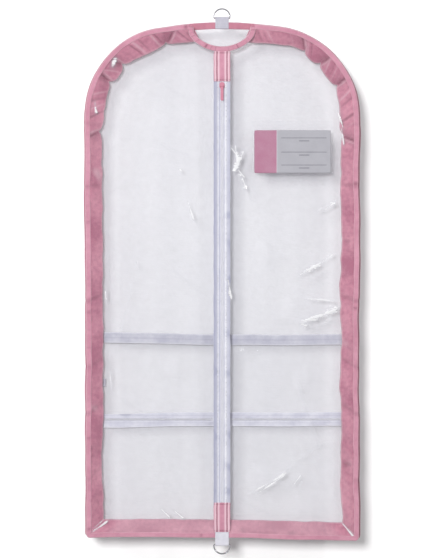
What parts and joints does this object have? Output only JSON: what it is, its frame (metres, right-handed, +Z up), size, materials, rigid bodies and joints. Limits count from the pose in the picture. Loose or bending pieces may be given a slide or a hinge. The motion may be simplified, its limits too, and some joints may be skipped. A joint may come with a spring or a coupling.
{
  "type": "garment bag",
  "caption": "Hanging clear garment bag with bound edges, a front zipper, a hanger opening, a card window, inner pockets and a ring at each end so it can be folded in half.",
  "frame": {"origin": "middle of the top ring's straight bar, where the top webbing carries the bag", "axes": "+X across the bag to its right as seen from the front, -Y the front with the zipper, +Z up"},
  "size_m": [0.516, 0.0331, 1.0185],
  "materials": {
    "clear_vinyl": "clear glossy flexible sheet",
    "pink_nylon": "plain woven nylon",
    "pink_binding": "woven binding tape with two rows of stitches",
    "white_webbing": "white polyester webbing",
    "white_tape": "white woven tape",
    "white_coil": "white nylon coil",
    "white_satin": "satin label",
    "pink_enamel": "pink enamel",
    "white_enamel": "white enamel",
    "chrome": "bright nickel",
    "card": "printed card, half of it pink"
  },
  "bodies": {
    "upper_bag": {"back_panel_upper": "clear_vinyl", "back_binding_upper": "pink_binding", "neck_binding": "pink_binding", "zipper_top_tab": "pink_nylon", "top_strap": "white_webbing", "id_window": "clear_vinyl", "front_panel_left_upper": "clear_vinyl", "front_panel_right_upper": "clear_vinyl", "front_binding_left_upper": "pink_binding", "front_binding_right_upper": "pink_binding", "gusset_left_upper": "pink_nylon", "gusset_right_upper": "pink_nylon", "zipper_tape_left_upper": "white_tape", "zipper_tape_right_upper": "white_tape", "zipper_coil_left_upper": "white_coil", "zipper_coil_right_upper": "white_coil"},
    "top_ring": {"top_ring": "chrome"},
    "lower_bag": {"back_panel_lower": "clear_vinyl", "back_binding_lower": "pink_binding", "front_binding_lower": "pink_binding", "gusset_bottom": "pink_nylon", "zipper_bottom_tab": "pink_nylon", "bottom_strap": "white_webbing", "pocket_panel_upper": "clear_vinyl", "pocket_panel_lower": "clear_vinyl", "pocket_hem": "white_tape", "pocket_divider": "white_tape", "pocket_zipper_tape_upper": "white_tape", "pocket_zipper_tape_lower": "white_tape", "pocket_zipper_coil_upper": "white_coil", "pocket_zipper_coil_lower": "white_coil", "care_label": "white_satin", "front_panel_left_lower": "clear_vinyl", "front_panel_right_lower": "clear_vinyl", "gusset_left_lower": "pink_nylon", "gusset_right_lower": "pink_nylon", "zipper_tape_left_lower": "white_tape", "zipper_tape_right_lower": "white_tape", "zipper_coil_left_lower": "white_coil", "zipper_coil_right_lower": "white_coil"},
    "id_card": {"id_card": "card"},
    "zipper_slider": {"zipper_slider": "pink_enamel"},
    "zipper_pull": {"zipper_pull": "pink_enamel"},
    "pocket_slider_left": {"pocket_slider_left": "white_enamel"},
    "pocket_pull_left": {"pocket_pull_left": "white_enamel"},
    "pocket_slider_right": {"pocket_slider_right": "white_enamel"},
    "pocket_pull_right": {"pocket_pull_right": "white_enamel"},
    "bottom_ring": {"bottom_ring": "chrome"}
  },
  "joints": [
    {"name": "top_ring_swing", "type": "hinge", "parent": "upper_bag", "child": "top_ring", "pos_m": [0, 0, 0], "axis": [1, 0, 0], "range_deg": [-90, 140]},
    {"name": "fold_in_half", "type": "hinge", "parent": "upper_bag", "child": "lower_bag", "pos_m": [0, 0.006, -0.49025], "axis": [1, 0, 0], "range_deg": [0, 180]},
    {"name": "bottom_ring_swing", "type": "hinge", "parent": "lower_bag", "child": "bottom_ring", "pos_m": [0, -0.024, -0.9805], "axis": [-1, 0, 0], "range_deg": [-90, 140]},
    {"name": "zipper_run", "type": "slide", "parent": "upper_bag", "child": "zipper_slider", "axis": [0, 0, 1], "range_m": [-0.7667, 0]},
    {"name": "zipper_pull_swing", "type": "hinge", "parent": "zipper_slider", "child": "zipper_pull", "pos_m": [0, -0.0287, -0.13024], "axis": [-1, 0, 0], "range_deg": [0, 170]},
    {"name": "card_slide", "type": "slide", "parent": "upper_bag", "child": "id_card", "axis": [0, 0, 1], "range_m": [0, 0.08]},
    {"name": "pocket_zipper_run_left", "type": "slide", "parent": "lower_bag", "child": "pocket_slider_left", "axis": [-1, 0, 0], "range_m": [0, 0.2]},
    {"name": "pocket_pull_swing_left", "type": "hinge", "parent": "pocket_slider_left", "child": "pocket_pull_left", "pos_m": [-0.00746, -0.0105, -0.7499], "axis": [0, 0, 1], "range_deg": [0, 110]},
    {"name": "pocket_zipper_run_right", "type": "slide", "parent": "lower_bag", "child": "pocket_slider_right", "axis": [1, 0, 0], "range_m": [0, 0.2]},
    {"name": "pocket_pull_swing_right", "type": "hinge", "parent": "pocket_slider_right", "child": "pocket_pull_right", "pos_m": [0.00746, -0.0105, -0.7499], "axis": [0, 0, -1], "range_deg": [0, 110]}
  ]
}
